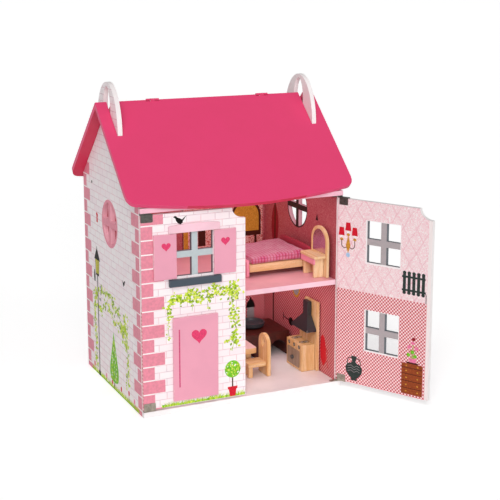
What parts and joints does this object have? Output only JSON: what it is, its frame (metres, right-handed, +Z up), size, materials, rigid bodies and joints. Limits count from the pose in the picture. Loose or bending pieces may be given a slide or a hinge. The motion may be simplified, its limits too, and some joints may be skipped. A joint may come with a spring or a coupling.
{
  "type": "wooden dollhouse",
  "caption": "Wooden two-storey dollhouse with hinged front doors, pitched roof, carrying handles in the gables and loose bed, table, cooker and dressing-table furniture.",
  "frame": {"origin": "middle of the base's underside, between the outer faces of the side walls and midway from the front to the back", "axes": "+Z up, the door side faces -Y, +X to the right when seen from the front"},
  "size_m": [0.4143, 0.4246, 0.471],
  "materials": {
    "white_board": "smooth satin paint on board",
    "brick_board": "board with a printed brick wall, satin",
    "wall_paper_board": "board with a printed wallpaper, satin",
    "pale_board": "smooth satin paint on board",
    "pink_board": "smooth satin paint on board",
    "roof_board": "smooth satin paint on board",
    "natural_wood": "clear satin varnish",
    "steel": "zinc-plated satin",
    "slate_board": "smooth satin paint on board",
    "dark_board": "satin paint",
    "gingham_fabric": "woven cotton check, matte",
    "mirror": "glossy foil"
  },
  "bodies": {
    "house": {"base_board": "white_board", "left_gable": "brick_board", "right_gable": "brick_board", "back_wall": "wall_paper_board", "middle_floor": "pale_board", "attic_floor": "pale_board", "roof_back_panel": "roof_board", "roof_hinge_left_fixed": "steel", "roof_hinge_right_fixed": "steel", "left_bottom_pivot": "steel", "left_top_pivot": "steel", "right_bottom_pivot": "steel", "right_top_pivot": "steel", "bed_footboard": "natural_wood", "bed_headboard": "natural_wood", "bed_front_rail": "natural_wood", "bed_back_rail": "natural_wood", "bed_base": "natural_wood", "mattress": "gingham_fabric", "dressing_table_board": "natural_wood", "dressing_table_front_side": "natural_wood", "dressing_table_back_side": "natural_wood", "dressing_table_top": "natural_wood", "dressing_table_drawer": "pink_board", "dressing_table_mirror": "mirror", "cooker_board": "natural_wood", "cooker_body": "natural_wood", "cooker_hob": "natural_wood", "oven_door": "slate_board", "oven_knob": "dark_board", "extractor_hood": "dark_board", "chair_back": "natural_wood", "chair_seat": "natural_wood", "chair_front_leg": "natural_wood", "table_top": "natural_wood", "table_left_trestle": "natural_wood", "table_right_trestle": "natural_wood", "counter": "natural_wood", "basin": "dark_board"},
    "roof_front": {"roof_front_panel": "roof_board", "roof_hinge_left_moving": "steel", "roof_hinge_right_moving": "steel"},
    "left_door": {"left_door": "brick_board", "left_door_lintel": "pale_board", "left_door_sill": "slate_board", "left_shutter_outer": "pink_board", "left_shutter_inner": "pink_board", "front_door_panel": "pink_board", "left_bottom_bracket": "steel", "left_top_bracket": "steel"},
    "right_door": {"right_door": "wall_paper_board", "right_door_upper_sill": "slate_board", "right_door_lower_sill": "slate_board", "right_bottom_bracket": "steel", "right_top_bracket": "steel"}
  },
  "joints": [
    {"name": "left_door_hinge", "type": "hinge", "parent": "house", "child": "left_door", "pos_m": [-0.158, -0.1285, 0.154], "axis": [0, 0, -1], "range_deg": [0, 170]},
    {"name": "right_door_hinge", "type": "hinge", "parent": "house", "child": "right_door", "pos_m": [0.158, -0.1285, 0.154], "axis": [0, 0, 1], "range_deg": [-118.5, 51.5]},
    {"name": "roof_front_hinge", "type": "hinge", "parent": "house", "child": "roof_front", "pos_m": [0, 0.005, 0.442], "axis": [-1, 0, 0], "range_deg": [0, 105]}
  ]
}
